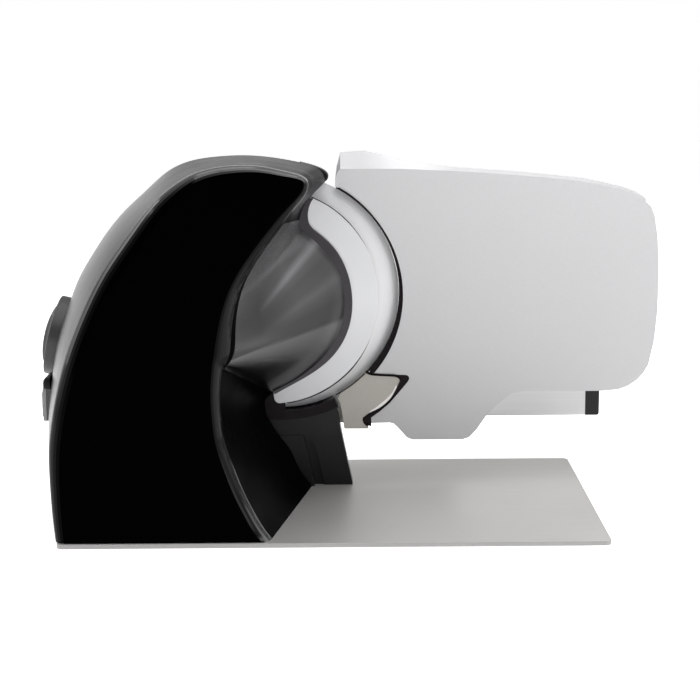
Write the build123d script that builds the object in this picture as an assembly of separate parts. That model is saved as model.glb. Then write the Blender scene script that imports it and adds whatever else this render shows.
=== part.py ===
from build123d import *
import math
import os

# Domestic food slicer: round vertical blade, belt drive, gauge plate, sliding food carriage.
# Millimetres. +X is to the operator's right, +Y is away from the operator, +Z is up.
# Everything is drawn with Z = 0 on the top of the base plate, Y = 0 at its front edge
# and X = 0 at its middle, and moved to the common origin when it is written.

# ---- driving dimensions ------------------------------------------------------------
PLATE_W, PLATE_D, PLATE_T = 415.0, 254.0, 3.5      # base plate
FOOT_H, FOOT_R = 8.0, 14.0                         # rubber feet
FEET = [(-178.0, 48.0), (178.0, 48.0), (-178.0, 222.0), (178.0, 222.0)]
AX, AZ = -43.7, 164.4                              # blade axis (runs along Y)
BLADE_R, EDGE_Y = 97.5, 171.0                      # blade radius and cutting plane
FRONT_Y, REAR_Y, DEFL_Y = 2.0, 162.0, 152.0        # housing front face, rear edge, deflector's rear edge
WALL = 3.0                                         # housing wall
MX, MZ = -132.0, 128.0                             # motor axis (runs along Y)
MOTOR_R = 42.0
PULLEY_R, PINION_R = 36.0, 9.0                     # blade pulley, motor pulley
KX, KY, KZ, KTILT = -225.0, 122.0, 138.6, 13.7     # centre of the dial's outer face, tilt of the knob axis
GAUGE_TRAVEL, KNOB_TURN = 14.0, 300.0              # thickness range and knob turn in degrees
CAM_R0 = 13.0                                      # scroll groove's inner radius
GAUGE_F, GAUGE_B = 164.0, 171.0                    # gauge plate's front and rear faces
ROD_X, ROD_Z, ROD_R = -84.0, 44.0, 8.0             # gauge rod
RAIL_Y0, RAIL_Y1, RAIL_Z0, RAIL_Z1 = 188.0, 204.0, 54.0, 78.0
RAIL_X0, RAIL_X1 = -74.0, 213.0
TRAY_Z0, TRAY_Z1 = 84.0, 87.0
TRAY_X0, TRAY_X1, TRAY_Y0, TRAY_Y1 = 62.0, 250.0, 173.0, 330.0

# origin: bottom centre of the whole object
OX, OY, OZ = -27.2033, -165.0, FOOT_H + PLATE_T

PARTS = {}


def keep(name, shape):
    PARTS[name] = shape


# ---- small helpers -----------------------------------------------------------------
def box(x0, x1, y0, y1, z0, z1):
    return Pos((x0 + x1) / 2, (y0 + y1) / 2, (z0 + z1) / 2) * Box(x1 - x0, y1 - y0, z1 - z0)


def ycyl(x, z, r, y0, y1):
    return Pos(x, (y0 + y1) / 2, z) * Rot(90, 0, 0) * Cylinder(r, y1 - y0)


def zcyl(x, y, r, z0, z1):
    return Pos(x, y, (z0 + z1) / 2) * Cylinder(r, z1 - z0)


def xcyl(y, z, r, x0, x1):
    return Pos((x0 + x1) / 2, y, z) * Rot(0, 90, 0) * Cylinder(r, x1 - x0)


def poly_y(pts, y0, y1):
    w = Wire.make_polygon([(x, y0, z) for x, z in pts], close=True)
    return extrude(Face(w), y1 - y0, dir=(0, 1, 0))


def curve(pts, y):
    return Edge.make_spline([(x, y, z) for x, z in pts])


def band_y(inner, outer, y0, y1):
    """A flat band between two smooth curves that run the same way."""
    a, b = curve(inner, y0), curve(outer[::-1], y0)
    c = Edge.make_line((inner[-1][0], y0, inner[-1][1]), (outer[-1][0], y0, outer[-1][1]))
    d = Edge.make_line((outer[0][0], y0, outer[0][1]), (inner[0][0], y0, inner[0][1]))
    return extrude(Face(Wire([a, c, b, d])), y1 - y0, dir=(0, 1, 0))


def ring_sector(cx, cz, r0, r1, a0, a1, y0, y1):
    """Part of a ring about an axis along Y, angles in degrees from +X towards +Z."""
    n = max(2, int(abs(a1 - a0) / 60) + 1)
    def p(r, a):
        return (cx + r * math.cos(math.radians(a)), y0, cz + r * math.sin(math.radians(a)))
    edges, step = [], (a1 - a0) / n
    for i in range(n):
        s, e = a0 + i * step, a0 + (i + 1) * step
        edges.append(Edge.make_three_point_arc(p(r1, s), p(r1, (s + e) / 2), p(r1, e)))
    edges.append(Edge.make_line(p(r1, a1), p(r0, a1)))
    for i in range(n):
        s, e = a1 - i * step, a1 - (i + 1) * step
        edges.append(Edge.make_three_point_arc(p(r0, s), p(r0, (s + e) / 2), p(r0, e)))
    edges.append(Edge.make_line(p(r0, a0), p(r1, a0)))
    return extrude(Face(Wire(edges)), y1 - y0, dir=(0, 1, 0))


def tidy(shape):
    """The solids of a result, without stray slivers."""
    s = [q for q in shape.solids() if q.volume > 20]
    return s[0] if len(s) == 1 else Compound(children=s)


# ---- housing outline ---------------------------------------------------------------
# The left wall bows outwards: its points are given at the front, at MID_Y and at the rear.
MID_Y = 85.0
LEFT = [
    ((-209.0, 0.0), (-211.5, 0.0), (-212.5, 0.0)), ((-210.2, 20.0), (-216.0, 20.0), (-217.5, 20.0)),
    ((-210.6, 45.0), (-220.5, 45.0), (-223.0, 45.0)), ((-209.6, 70.0), (-223.6, 70.0), (-227.0, 70.0)),
    ((-205.6, 95.0), (-222.9, 95.0), (-226.8, 95.0)), ((-199.4, 120.0), (-219.3, 120.0), (-223.3, 120.0)),
    ((-191.6, 143.5), (-214.4, 143.5), (-218.6, 143.2)), ((-182.4, 166.0), (-206.0, 166.0), (-210.2, 165.2)),
    ((-172.7, 186.0), (-197.6, 186.0), (-201.8, 185.0)), ((-162.2, 204.5), (-186.5, 204.2), (-192.0, 202.8)),
    ((-150.0, 222.0), (-173.5, 221.8), (-181.3, 220.4)), ((-138.2, 238.5), (-158.0, 239.0), (-169.5, 234.6)),
    ((-126.3, 253.2), (-141.6, 254.2), (-151.5, 251.2)), ((-113.5, 264.8), (-125.2, 266.2), (-134.0, 266.0)),
]
# Pairs of points (front outline, rear outline), from the lower left corner over the top
# to the lower right corner. The deflector's points are given at its own rear edge.
LEFT_TOP = [(f, r) for f, m, r in LEFT] + [
    ((-99.0, 273.8), (-115.0, 274.2)), ((-82.0, 278.6), (-94.0, 277.4)),
    ((-64.0, 280.0), (-72.0, 278.3)), ((-46.0, 278.6), (-49.0, 276.4)),
    ((-32.0, 275.3), (-30.0, 273.0)), ((-23.4, 273.0), (-16.5, 269.6)),
    ((-18.5, 270.2), (-9.5, 266.0)), ((-16.9, 266.5), (-5.8, 261.0)),
    ((-17.6, 262.0), (-6.8, 256.3)), ((-20.5, 256.5), (-12.0, 250.6)),
    ((-27.0, 248.6), (-20.2, 241.6)),
]
# the deflector: its straight lines fan out from the lower front corner
SCOOP = [
    ((-31.0, 243.7), (-25.1, 234.5)), ((-35.7, 237.9), (-27.4, 226.3)),
    ((-56.1, 212.0), (-25.4, 218.1)), ((-71.4, 186.0), (-19.0, 212.4)),
    ((-77.2, 168.0), (-11.0, 204.8)), ((-79.6, 157.5), (-2.8, 195.0)),
    ((-80.9, 151.0), (4.1, 183.0)), ((-81.6, 147.0), (8.7, 164.5)),
    ((-82.0, 144.0), (8.3, 149.0)), ((-82.3, 141.7), (3.7, 133.0)),
    ((-82.6, 139.7), (-6.0, 116.3)), ((-82.9, 138.0), (-18.7, 103.6)),
    ((-83.2, 136.4), (-34.7, 92.4)), ((-83.5, 134.2), (-52.0, 83.5)),
]
LOWER = [
    ((-84.9, 121.0), (-57.5, 74.5)), ((-85.3, 108.0), (-57.5, 66.5)),
    ((-84.6, 93.0), (-55.0, 58.0)), ((-82.6, 77.0), (-50.5, 49.5)),
    ((-77.5, 59.0), (-44.5, 41.0)), ((-70.5, 39.5), (-37.5, 31.0)),
    ((-62.8, 23.0), (-30.5, 15.5)), ((-54.5, 8.0), (-23.5, 5.0)),
    ((-48.5, 0.0), (-20.2, 0.0)),
]
SPAN = (REAR_Y - FRONT_Y) / (DEFL_Y - FRONT_Y)
F_PTS = [f for f, r in LEFT_TOP + SCOOP + LOWER]
R_PTS = [r for f, r in LEFT_TOP]
R_PTS += [(f[0] + SPAN * (r[0] - f[0]), f[1] + SPAN * (r[1] - f[1])) for f, r in SCOOP]
R_PTS += [r for f, r in LOWER]
N_NOTCH, N_END = len(LEFT_TOP) + 1, len(LEFT_TOP) + len(SCOOP) - 1


def normals(pts):
    """Outward unit normals of the outline (it runs clockwise seen from the front)."""
    out = []
    for i in range(len(pts)):
        a, b = pts[max(i - 1, 0)], pts[min(i + 1, len(pts) - 1)]
        dx, dz = b[0] - a[0], b[1] - a[1]
        d = math.hypot(dx, dz)
        out.append((-dz / d, dx / d))
    return out


def chords(p, q):
    """One set of spline parameters for both outlines, so that they match point for point."""
    t = [0.0]
    for i in range(1, len(p)):
        t.append(t[-1] + 0.5 * math.dist(p[i], p[i - 1]) + 0.5 * math.dist(q[i], q[i - 1]))
    return [v / t[-1] for v in t]


T_PARAM = chords(F_PTS, R_PTS)
CUTS = [0, 7, 14, 19, 24, N_NOTCH, N_END, len(F_PTS) - 1]   # where the outline is divided into edges


# walls and rounding get thinner at the narrow tip over the blade
TIP = {17: 0.85, 18: 0.7, 19: 0.55, 20: 0.45, 21: 0.45, 22: 0.5, 23: 0.6, 24: 0.75, 25: 0.9}
# the rounding of the front edge is larger along the left side
SOFT = {i: 1.65 for i in range(12)}
SOFT.update({12: 1.6, 13: 1.5, 14: 1.3, 15: 1.15})


def outline(pts, y, inset=0.0, floor=0.0, soft={}):
    q = []
    for i, ((x, z), n) in enumerate(zip(pts, normals(pts))):
        d = inset * TIP.get(i, 1.0) * soft.get(i, 1.0)
        q.append((x - n[0] * d, z - n[1] * d))
    if inset or floor:
        q[0] = (pts[0][0] + inset * soft.get(0, 1.0), floor)
        q[-1] = (pts[-1][0] - inset, floor)
    top = Edge.make_spline([(x, y, z) for x, z in q], parameters=T_PARAM)
    at = [0.0] + [top.param_at_point((q[i][0], y, q[i][1])) for i in CUTS[1:-1]] + [1.0]
    base = Edge.make_line((q[-1][0], y, q[-1][1]), (q[0][0], y, q[0][1]))
    return Wire([top.trim(a, b) for a, b in zip(at, at[1:])] + [base])


ROUND = 6.0                                        # rounding of the front cover's edge


def between(y):
    """The outline where the walls cross the plane at y."""
    t = (y - FRONT_Y) / (REAR_Y - FRONT_Y)
    pts = [(a[0] + t * (b[0] - a[0]), a[1] + t * (b[1] - a[1])) for a, b in zip(F_PTS, R_PTS)]
    wf = (y - MID_Y) * (y - REAR_Y) / ((FRONT_Y - MID_Y) * (FRONT_Y - REAR_Y))
    wm = (y - FRONT_Y) * (y - REAR_Y) / ((MID_Y - FRONT_Y) * (MID_Y - REAR_Y))
    wr = (y - FRONT_Y) * (y - MID_Y) / ((REAR_Y - FRONT_Y) * (REAR_Y - MID_Y))
    for i, (f, m, r) in enumerate(LEFT):
        pts[i] = (wf * f[0] + wm * m[0] + wr * r[0], wf * f[1] + wm * m[1] + wr * r[1])
    return pts


rounded = []
for a in (0, 15, 30, 45, 60, 75):
    y = FRONT_Y + 1.5 * ROUND * (1 - math.cos(math.radians(a)))
    rounded.append(outline(between(y), y, ROUND * (1 - math.sin(math.radians(a))), soft=SOFT))
walls = [outline(between(y), y) for y in (FRONT_Y + 1.5 * ROUND, 30, 55, 85, 115, 140, REAR_Y)]
outer = Solid.make_loft(rounded + walls[:1], ruled=True) + Solid.make_loft(walls, ruled=False)
hollow = [outline(between(FRONT_Y + WALL), FRONT_Y + WALL, 5.5, -6.0, SOFT), outline(between(17), 17, 3.3, -6.0)]
hollow += [outline(between(y), y, WALL, -6.0) for y in (34, 50, 67, 85, 104, 123, 142, REAR_Y + 2)]
cavity = Solid.make_loft(hollow, ruled=True)
shell = outer - cavity


def region(pts, lo, hi, out, inn, grow):
    """Polygon that straddles the outline between two of its points."""
    nn = normals(pts)
    ids = list(range(lo, hi + 1, 3))
    if ids[-1] != hi:
        ids.append(hi)
    def shifted(i):
        x, z = pts[i]
        if i == lo or i == hi:
            tx, tz = nn[i][1], -nn[i][0]
            s = -grow if i == lo else grow
            x, z = x + s * tx, z + s * tz
        return x, z
    a = [(shifted(i)[0] + out * nn[i][0], shifted(i)[1] + out * nn[i][1]) for i in ids]
    b = [(shifted(i)[0] - inn * nn[i][0], shifted(i)[1] - inn * nn[i][1]) for i in ids[::-1]]
    return a + b


def scoop_zone(grow):
    a = [(x, FRONT_Y, z) for x, z in region(F_PTS, N_NOTCH, N_END, 25.0, 11.0, grow)]
    b = [(x, REAR_Y + 1, z) for x, z in region(R_PTS, N_NOTCH, N_END, 25.0, 11.0, grow)]
    return Solid.make_loft([Wire.make_polygon(a, close=True), Wire.make_polygon(b, close=True)], ruled=True)


# The joint between front cover and rear housing is a plane.
SEAM_Y = 12.5
def behind(offset):
    """Everything behind the joint plane moved back by offset."""
    return box(-550, 350, SEAM_Y + offset, 600, -300, 600)


def before(offset):
    """Everything in front of the joint plane moved back by offset."""
    return box(-550, 350, -600, SEAM_Y + offset, -300, 600)


zone, zone_wide = scoop_zone(0.0), scoop_zone(0.5)
scoop = (shell & zone) & behind(6.0)
scoop = scoop - box(-300, 100, DEFL_Y, 200, -50, 350)
keep("slice_deflector", tidy(scoop))

casing = shell - (zone_wide & behind(5.5))
knob_axis = Vector(-math.cos(math.radians(KTILT)), 0, math.sin(math.radians(KTILT)))
KNOB_PLANE = Plane(origin=(KX, KY, KZ), x_dir=(0, -1, 0), z_dir=tuple(knob_axis))


def on_knob(r, s0, s1):
    """Cylinder about the knob axis; s runs inwards from the dial's outer face."""
    return KNOB_PLANE * (Pos(0, 0, -(s0 + s1) / 2) * Cylinder(r, s1 - s0))


BEZEL = (-224.6, -211.0, 64.0, 90.0, 80.5, 105.5)
casing = casing - on_knob(32.0, -30, 24) - box(-260, -200, *BEZEL[2:])
keep("front_cover", tidy(casing - behind(0.0)))
keep("rear_housing", tidy(casing - before(0.4)))

# ---- deflector rim, crescent cover plate, blade guard ------------------------------
scoop_rear = [r for f, r in SCOOP]
rim_in = [(-20.2, 242.0)] + scoop_rear
rim_in = [(x - n[0] * 2.0, z - n[1] * 2.0) for (x, z), n in zip(rim_in, normals(rim_in))]
RIM_OUT = [(-15.8, 243.5), (-20.3, 232.5), (-18.9, 221.8), (-11.3, 214.4), (1.1, 202.2), (10.4, 185.1),
           (14.9, 164.4), (14.6, 148.4), (8.4, 127.6), (-2.9, 111.6), (-18.9, 98.8), (-36.0, 89.0), (-49.5, 81.5)]
keep("deflector_rim", band_y(rim_in, RIM_OUT, 152.3, 155.3))

CRX, CRZ, CRR = -52.3, 162.0, 89.0
crescent_cut = [(x - n[0] * 3.5, z - n[1] * 3.5) for (x, z), n in zip(RIM_OUT, normals(RIM_OUT))]
disc = ycyl(CRX, CRZ, CRR, 155.3, 157.3)
inner_edge = curve([(x, z) for x, z in crescent_cut], 150)
side = [(-49.0, 66.0), (-20.0, 60.0), (70.0, 60.0), (70.0, 270.0), (-12.0, 270.0)]
first, last = crescent_cut[0], crescent_cut[-1]
around = Wire([inner_edge,
               Edge.make_line((last[0], 150, last[1]), (side[0][0], 150, side[0][1])),
               *[Edge.make_line((a[0], 150, a[1]), (b[0], 150, b[1])) for a, b in zip(side, side[1:])],
               Edge.make_line((side[-1][0], 150, side[-1][1]), (first[0], 150, first[1]))])
crescent = tidy(disc & extrude(Face(around), 12, dir=(0, 1, 0)))
low_corners = crescent.edges().filter_by(Axis.Y).sort_by(Axis.Z)[:2]
crescent = fillet(low_corners, 4.8)
keep("blade_cover_plate", tidy(crescent))

guard = ring_sector(AX, AZ, 98.6, 106.0, 68.0, 296.0, 159.0, 171.0)
guard += ring_sector(AX, AZ, 84.0, 106.0, 246.0, 271.5, 159.0, 161.0)
guard += ring_sector(AX, AZ, 88.0, 106.0, 80.0, 246.0, 159.0, 160.2)
keep("blade_guard", tidy(guard))
# the housing's rear edge is cut back where these three sit in it
PARTS["rear_housing"] = tidy(PARTS["rear_housing"] - PARTS["blade_guard"] - PARTS["deflector_rim"] - PARTS["blade_cover_plate"]
                             - ycyl(AX, AZ, 106.2, 161.0, 175.0))

# ---- base plate, feet ----------------------------------------------------------------
plate = box(-PLATE_W / 2, PLATE_W / 2, 0, PLATE_D, -PLATE_T, 0)
plate = fillet(plate.edges().filter_by(Axis.Z), 5)
CHASSIS_BOLTS = [(-170.0, 127.0), (-95.0, 127.0)]
LEG_BOLTS = [(-40.0, 174.0), (-2.0, 176.0)]
for x, y in FEET:
    plate -= zcyl(x, y, 2.0, -PLATE_T - 1, -1.0)
for x, y in CHASSIS_BOLTS + LEG_BOLTS:
    plate -= zcyl(x, y, 2.5, -PLATE_T - 1, 1)
keep("base_plate", tidy(plate))

feet, feet_screws = [], []
for x, y in FEET:
    f = Pos(x, y, -PLATE_T - FOOT_H / 2) * Cone(FOOT_R - 2.0, FOOT_R, FOOT_H)
    f -= zcyl(x, y, 4.5, -PLATE_T - FOOT_H - 1, -PLATE_T - 3.5)
    f -= zcyl(x, y, 2.0, -PLATE_T - FOOT_H, 0)
    feet.append(f.solids()[0])
    s = zcyl(x, y, 4.0, -PLATE_T - 6.0, -PLATE_T - 3.5) + zcyl(x, y, 2.0, -PLATE_T - 3.5, -1.0)
    feet_screws.append(s.solids()[0])
keep("rubber_feet", Compound(children=feet))
keep("feet_screws", Compound(children=feet_screws))

# ---- chassis plate and what it carries -------------------------------------------------
chassis = poly_y([(-185, 0), (-70, 0), (-70, 62), (-74, 84), (-66, 108), (-32, 128), (-14, 150), (-12, 176),
                  (-24, 200), (-60, 226), (-110, 226), (-150, 202), (-180, 152), (-196, 104), (-196, 30)], 134, 142)
chassis += box(-185, -80, 118, 134, 0, 8)
chassis -= ycyl(AX, AZ, 22.0, 130, 150)
chassis -= ycyl(MX, MZ, 14.0, 130, 150)
chassis -= ycyl(ROD_X, ROD_Z, 11.0, 110, 150)
chassis -= ycyl(-165, 44, 5.0, 130, 150)
BEARING_BOLTS = [(AX + 27 * math.cos(a), AZ + 27 * math.sin(a)) for a in (math.pi / 4, 3 * math.pi / 4, 5 * math.pi / 4, 7 * math.pi / 4)]
MOTOR_BOLTS = [(MX + 30 * math.cos(a), MZ + 30 * math.sin(a)) for a in (0.5, 2.1, 3.6, 5.2)]
for x, z in BEARING_BOLTS + MOTOR_BOLTS:
    chassis -= ycyl(x, z, 2.5, 130, 150)
for x, y in CHASSIS_BOLTS:
    chassis -= zcyl(x, y, 2.5, -1, 6.5)
keep("chassis", tidy(chassis))

bearing_housing = ycyl(AX, AZ, 22.0, 112, 142) + ycyl(AX, AZ, 31.5, 129, 134)
bearing_housing -= ycyl(AX, AZ, 17.5, 113.5, 143)
bearing_housing -= ycyl(AX, AZ, 10.0, 100, 120)
for x, z in BEARING_BOLTS:
    bearing_housing -= ycyl(x, z, 2.5, 120, 140)
keep("bearing_housing", tidy(bearing_housing))


def bearing(y0, y1):
    b = ycyl(AX, AZ, 17.5, y0, y1) - ycyl(AX, AZ, 7.55, y0 - 1, y1 + 1)
    groove = ycyl(AX, AZ, 14.5, y0 - 1, y0 + 1) - ycyl(AX, AZ, 10.5, y0 - 2, y0 + 2)
    return b - groove - Pos(0, y1 - y0, 0) * groove


keep("bearing_front", tidy(bearing(113.5, 124.5)))
keep("bearing_rear", tidy(bearing(131.0, 142.0)))

bolts = []
for x, z in BEARING_BOLTS:
    bolts.append((ycyl(x, z, 4.0, 125.5, 129) + ycyl(x, z, 2.5, 129, 142)).solids()[0])
for x, z in MOTOR_BOLTS:
    bolts.append((ycyl(x, z, 4.0, 142, 142.8) + ycyl(x, z, 2.5, 126, 142)).solids()[0])
for x, y in CHASSIS_BOLTS:
    bolts.append((zcyl(x, y, 4.5, -PLATE_T - 3.0, -PLATE_T) + zcyl(x, y, 2.5, -PLATE_T, 6.5)).solids()[0])
for x, y in LEG_BOLTS:
    bolts.append((zcyl(x, y, 4.5, -PLATE_T - 3.0, -PLATE_T) + zcyl(x, y, 2.5, -PLATE_T, 14)).solids()[0])

# motor: case with cooling slots, stator, rotor with shaft, fan
case = ycyl(MX, MZ, MOTOR_R, 38, 134) - ycyl(MX, MZ, MOTOR_R - 3, 42, 122)
case -= ycyl(MX, MZ, 4.05, 30, 140)
for x, z in MOTOR_BOLTS:
    case -= ycyl(x, z, 2.5, 126, 140)
for k in range(8):
    a = math.radians(22.5 + 45 * k)
    case -= Pos(MX + 40 * math.cos(a), 49, MZ + 40 * math.sin(a)) * Box(9, 8, 9)
keep("motor_case", tidy(case))
keep("motor_stator", tidy(ycyl(MX, MZ, MOTOR_R - 3, 62, 114) - ycyl(MX, MZ, 26.0, 60, 116)))
rotor = ycyl(MX, MZ, 25.4, 64, 112) + ycyl(MX, MZ, 4.0, 34, 154.5)
keep("motor_rotor", tidy(rotor))
fan = ycyl(MX, MZ, 9, 45, 55) - ycyl(MX, MZ, 4.0, 40, 60)
for k in range(7):
    fan += Pos(MX, 50, MZ) * Rot(0, 360 / 7 * k, 0) * Pos(20, 0, 0) * Rot(32, 0, 0) * Box(25, 1.6, 9)
keep("motor_fan", tidy(fan))
pinion = ycyl(MX, MZ, PINION_R, 143.5, 154.5) + ycyl(MX, MZ, 13, 143.5, 144.5) + ycyl(MX, MZ, 13, 153.5, 154.5)
keep("motor_pulley", tidy(pinion - ycyl(MX, MZ, 4.0, 140, 160)))

# blade pulley and belt
pulley = ycyl(AX, AZ, PULLEY_R, 143.5, 154.5) - (ycyl(AX, AZ, 31, 143, 147) - ycyl(AX, AZ, 14, 143, 147))
pulley -= ycyl(AX, AZ, 7.5, 140, 160)
for k in range(6):
    a = math.radians(60 * k)
    pulley -= ycyl(AX + 22.5 * math.cos(a), AZ + 22.5 * math.sin(a), 5, 140, 160)
keep("blade_pulley", tidy(pulley))


def loop(r_big, r_small, y0, y1):
    d = math.dist((AX, AZ), (MX, MZ))
    base = math.atan2(MZ - AZ, MX - AX)
    b = math.acos((r_big - r_small) / d)
    def p(c, r, a):
        return (c[0] + r * math.cos(a), y0, c[1] + r * math.sin(a))
    A, M = (AX, AZ), (MX, MZ)
    e = [Edge.make_line(p(A, r_big, base - b), p(M, r_small, base - b)),
         Edge.make_three_point_arc(p(M, r_small, base - b), p(M, r_small, base), p(M, r_small, base + b)),
         Edge.make_line(p(M, r_small, base + b), p(A, r_big, base + b)),
         Edge.make_three_point_arc(p(A, r_big, base + b), p(A, r_big, base + math.pi), p(A, r_big, base - b))]
    return extrude(Face(Wire(e)), y1 - y0, dir=(0, 1, 0))


keep("drive_belt", tidy(loop(PULLEY_R + 2.9, PINION_R + 2.9, 145, 153) - loop(PULLEY_R + 0.4, PINION_R + 0.4, 144, 154)))

# ---- back cover over the belt space ----------------------------------------------------
rear_in = []
for i, ((x, z), n) in enumerate(zip(R_PTS, normals(R_PTS))):
    if i <= N_NOTCH - 2:
        rear_in.append((x - 4.6 * n[0], z - 4.6 * n[1]))
rear_in[0] = (-207.8, 0.0)
for (x, z), n in zip(scoop_rear[1:], normals(scoop_rear)[1:]):
    rear_in.append((x - 5.5 * n[0], z - 5.5 * n[1]))
rear_in = rear_in[:-1] + [(-62.0, 84.0), (-63.0, 70.0), (-60.0, 58.0), (-50.0, 40.0), (-36.0, 12.0), (-32.0, 0.0)]
back = poly_y(rear_in, 155.6, 159.0)
back -= ycyl(AX, AZ, 30.0, 150, 165)
back -= ycyl(ROD_X, ROD_Z, 11.0, 150, 165)
back -= ycyl(-178, 24, 6.0, 150, 165)
for k in range(6):                                  # cooling slots
    slot = box(-176 + 2 * k, -142 + 2 * k, 150, 165, 66 + 9 * k, 70 + 9 * k)
    back -= fillet(slot.edges().filter_by(Axis.Y), 1.9)
COVER_BOLTS = [(-196.0, 12.0), (-205.0, 90.0), (-186.0, 170.0), (-138.0, 236.0), (-86.0, 266.0), (-92.0, 63.0), (-50.0, 14.0)]
for x, z in COVER_BOLTS:
    back -= ycyl(x, z, 1.6, 150, 165)
keep("back_cover", tidy(back - PARTS["rear_housing"]))

for x, z in COVER_BOLTS:
    head = ycyl(x, z, 3.4, 159.0, 160.6) + ycyl(x, z, 1.6, 151.0, 159.0)
    head -= Pos(x, 160.6, z) * Rot(0, 45, 0) * Box(4.2, 1.6, 0.9) + Pos(x, 160.6, z) * Rot(0, -45, 0) * Box(4.2, 1.6, 0.9)
    bolts.append(head.solids()[0])
keep("chassis_screws", Compound(children=bolts))

gland = ycyl(-178, 24, 9.5, 159.0, 163.0) + ycyl(-178, 24, 7.5, 163.0, 172.0) + ycyl(-178, 24, 6.0, 152.0, 159.0)
keep("cable_gland", tidy(gland - ycyl(-178, 24, 3.6, 150, 175)))
control = fillet(box(-196, -128, 12, 46, 2, 52).edges().filter_by(Axis.Y), 4)
keep("control_box", tidy(control))

# ---- support leg, bridge plate ----------------------------------------------------------
leg = poly_y([(-58, 0), (14.5, 0), (5.3, 46), (-58, 46)], 167, 182)
leg += poly_y([(-62, 44), (5.8, 44), (-0.5, 76), (-62, 76)], 164, 182)
leg += poly_y([(-58, 0), (-16, 0), (-27, 44), (-58, 44)], 163, 182)
leg -= poly_y([(-17.5, 0), (-9.0, 0), (-17.5, 36), (-26.0, 42)], 160, 170)
leg -= ycyl(AX, AZ, 106.0, 150, 200)
leg -= ycyl(ROD_X, ROD_Z, 14.0, 150, 200)
for x, y in LEG_BOLTS:
    leg -= zcyl(x, y, 2.5, -1, 14)
keep("support_leg", tidy(leg))

BRIDGE = [(6.2, 83.6), (14.7, 89.4), (20.2, 94.1), (24.6, 97.2), (28.4, 95.7), (31.0, 95.0), (50.4, 93.8), (53.7, 92.2), (54.6, 90.2),
          (52.4, 86.3), (51.2, 82.9), (46.1, 74.4), (37.7, 67.2), (29.3, 63.0), (23.4, 58.7), (23.6, 55.5),
          (25.1, 53.0), (27.4, 51.2), (28.4, 49.3), (7.8, 49.4), (4.3, 71.7), (2.0, 74.9)]
bridge = poly_y(BRIDGE, 163.0, 166.0) - ycyl(AX, AZ, 96.7, 150, 180)
bridge += box(10.0, 21.0, 166.0, 185.0, 50.5, 62.0) + box(-20.0, 21.0, 182.0, 185.0, 50.5, 62.0)
keep("bridge_plate", tidy(bridge))

# ---- blade, hub shaft, screws -------------------------------------------------------------
prof = [(12.0, 162.5), (66.0, 162.5), (72.0, 163.2), (80.0, 164.6), (84.0, 165.6), (BLADE_R, EDGE_Y - 0.5), (BLADE_R, EDGE_Y),
        (88.0, EDGE_Y), (80.0, 168.6), (66.0, 166.5), (12.0, 166.5)]
w = Wire.make_polygon([(AX + r, y, AZ) for r, y in prof], close=True)
blade = revolve(Face(w), axis=Axis((AX, 0, AZ), (0, 1, 0)), revolution_arc=360)
BLADE_BOLTS = [(AX + 19 * math.cos(a), AZ + 19 * math.sin(a)) for a in (math.pi / 2, math.pi * 7 / 6, math.pi * 11 / 6)]
shaft = ycyl(AX, AZ, 7.5, 106, 159.5) + ycyl(AX, AZ, 26.0, 159.5, 162.5) + ycyl(AX, AZ, 12.0, 162.5, 166.5)
screws = []
for x, z in BLADE_BOLTS:
    blade -= ycyl(x, z, 2.5, 150, 180)
    shaft -= ycyl(x, z, 2.5, 150, 180)
    screws.append((ycyl(x, z, 2.5, 160.0, 166.5) + ycyl(x, z, 4.5, 166.5, 168.5)).solids()[0])
keep("blade", tidy(blade))
keep("blade_shaft", tidy(shaft))
keep("blade_screws", Compound(children=screws))

# ---- thickness knob, dial, scroll cam ---------------------------------------------------------
dial = on_knob(32.0, 0, 18) - on_knob(26.6, -1, 14) - on_knob(5.05, 10, 20)
keep("dial_ring", tidy(dial))
dome = [(0.0, 6.6), (9.0, 6.1), (17.0, 4.7), (23.0, 2.6), (26.0, 0.6)]
dome_edge = Edge.make_spline([(r, 0, h) for r, h in dome], tangents=[(1, 0, 0), (0.7, 0, -0.72)])
dome_wire = Wire([dome_edge, Edge.make_line((26.0, 0, 0.6), (26.0, 0, -12.0)), Edge.make_line((26.0, 0, -12.0), (0, 0, -12.0)),
                  Edge.make_line((0, 0, -12.0), (0, 0, 6.6))])
knob = revolve(Face(dome_wire), axis=Axis.Z, revolution_arc=360)
for sx in (-1, 1):
    knob -= Pos(sx * 21.0, 0, 10.5) * Rot(90, 0, 0) * Cylinder(11.5, 36)
knob -= Pos(0, 0, -8) * Cylinder(5.0, 9)
keep("thickness_knob", tidy(KNOB_PLANE * knob))
keep("knob_shaft", tidy(on_knob(5.0, 3.5, 22.0) - on_knob(1.0, -5, -4)))

k_rise = GAUGE_TRAVEL / math.radians(KNOB_TURN)
cam = on_knob(32.0, 22.0, 29.0)
inner_pts, outer_pts = [], []
START, END = -4.0, KNOB_TURN + 4.0
steps = 76
for i in range(steps + 1):
    th = math.radians(START + (END - START) * i / steps)
    r = CAM_R0 + k_rise * th
    c, s = math.cos(th), -math.sin(th)
    inner_pts.append(((r - 3.3) * c, (r - 3.3) * s))
    outer_pts.append(((r + 3.3) * c, (r + 3.3) * s))
g_in = Edge.make_spline([(x, y, 0) for x, y in inner_pts])
g_out = Edge.make_spline([(x, y, 0) for x, y in outer_pts[::-1]])
groove_face = Face(Wire([g_in, Edge.make_line((*inner_pts[-1], 0), (*outer_pts[-1], 0)), g_out,
                         Edge.make_line((*outer_pts[0], 0), (*inner_pts[0], 0))]))
groove = extrude(groove_face, 6, dir=(0, 0, 1))
for th in (START, END):
    t = math.radians(th)
    r = CAM_R0 + k_rise * t
    groove += Pos(r * math.cos(t), -r * math.sin(t), 3) * Cylinder(3.3, 6)
cam -= KNOB_PLANE * Pos(0, 0, -30.5) * groove
keep("scroll_cam", tidy(cam))

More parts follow.
